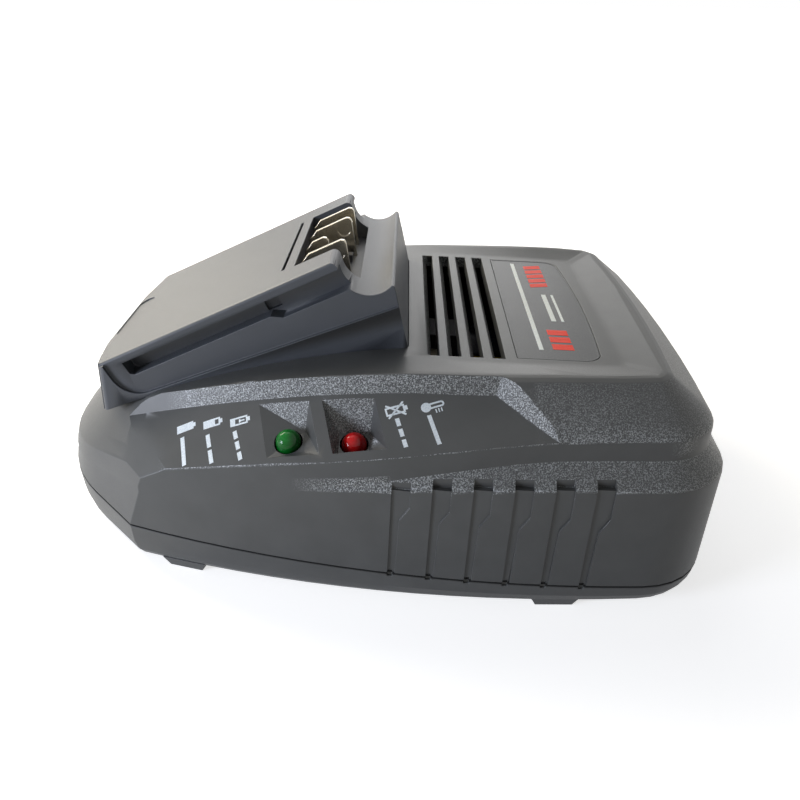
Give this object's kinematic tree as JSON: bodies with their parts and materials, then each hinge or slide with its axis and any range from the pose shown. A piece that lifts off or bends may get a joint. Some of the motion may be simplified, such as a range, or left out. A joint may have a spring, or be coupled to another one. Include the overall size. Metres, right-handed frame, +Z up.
{
  "type": "battery charger",
  "caption": "Mains charger for slide-on power tool batteries: stepped housing with a nose, vented deck, sloping dock with rails and blade contacts, indicator panel.",
  "frame": {"origin": "under the middle of the housing's length and width, on the surface that its feet stand on", "axes": "+X runs from the nose to the rear wall with the cord entry, +Y across, away from the side with the indicator panel, +Z up"},
  "size_m": [0.1738, 0.1264, 0.077],
  "materials": {
    "housing": "fine texture",
    "dock": "fine texture",
    "carrier": "smooth",
    "contact": "tinned",
    "label": "satin",
    "led_green": "clear tinted",
    "led_red": "clear tinted",
    "steel": "zinc plated",
    "board": "solder mask",
    "ferrite": "matt",
    "bobbin": "smooth",
    "copper": "enamelled",
    "sleeve": "shrink sleeve",
    "film_case": "smooth",
    "epoxy": "moulded",
    "ceramic": "dipped",
    "heat_sink": "anodised",
    "fuse_glass": "clear",
    "white_plastic": "smooth",
    "wire": "smooth",
    "gland": "smooth"
  },
  "bodies": {
    "root": {"top_shell": "housing", "bottom_shell": "housing", "battery_dock": "dock", "contact_carrier": "carrier", "contact_positive": "contact", "contact_data": "contact", "contact_temperature": "contact", "contact_negative": "contact", "label_plate": "label", "led_green": "led_green", "led_red": "led_red", "led_leads": "steel", "led_spacers": "epoxy", "circuit_board": "board", "transformer_core": "ferrite", "transformer_bobbin": "bobbin", "transformer_winding": "copper", "bulk_capacitor": "sleeve", "output_capacitors": "sleeve", "x_capacitor": "film_case", "choke_core": "ferrite", "choke_winding": "copper", "bridge_rectifier": "epoxy", "power_transistor": "epoxy", "output_diode": "epoxy", "heat_sink": "heat_sink", "fuse": "fuse_glass", "fuse_clips": "steel", "varistor": "ceramic", "controller_chip": "epoxy", "optocoupler": "white_plastic", "contact_leads": "wire", "cord_gland": "gland", "cord_clamp": "epoxy", "clamp_screws": "steel", "housing_screws": "steel", "board_screws": "steel", "dock_screws": "steel", "device_screws": "steel"}
  },
  "joints": []
}
